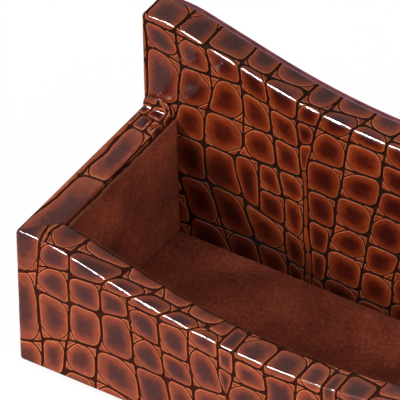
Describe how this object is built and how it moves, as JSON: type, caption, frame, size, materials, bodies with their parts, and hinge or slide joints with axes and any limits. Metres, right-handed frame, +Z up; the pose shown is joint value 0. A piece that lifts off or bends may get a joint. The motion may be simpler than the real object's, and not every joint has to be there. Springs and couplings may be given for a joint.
{
  "type": "business card holder",
  "caption": "Open desk tray for business cards: dipped low front, low side walls and a tall dipped back panel, boards covered in glossy croc-embossed leather, suede-lined well.",
  "frame": {"origin": "middle of the underside, on the surface that the felt rests on", "axes": "+X along the long side, +Y from the low front wall to the back panel, +Z up"},
  "size_m": [0.108, 0.0496, 0.0519],
  "materials": {
    "croc_leather": "crocodile-embossed calf, two-tone cognac and mahogany, glazed to a high gloss",
    "rear_leather": "dark burgundy-brown leather, glazed, with a light croc grain",
    "greyboard": "dense grey bookbinder's board",
    "card": "thin brown card, matt",
    "suede": "red-brown suede with a short matt nap",
    "felt": "thin dark brown felt"
  },
  "bodies": {
    "root": {"front_leather": "croc_leather", "left_leather": "croc_leather", "right_leather": "croc_leather", "back_leather": "croc_leather", "rear_leather": "rear_leather", "base_board": "greyboard", "front_board": "greyboard", "left_board": "greyboard", "right_board": "greyboard", "back_board": "greyboard", "floor_card": "card", "front_card": "card", "left_card": "card", "right_card": "card", "base_infill_card": "card", "back_infill_card": "card", "floor_suede": "suede", "front_suede": "suede", "left_suede": "suede", "right_suede": "suede", "base_felt": "felt"}
  },
  "joints": []
}
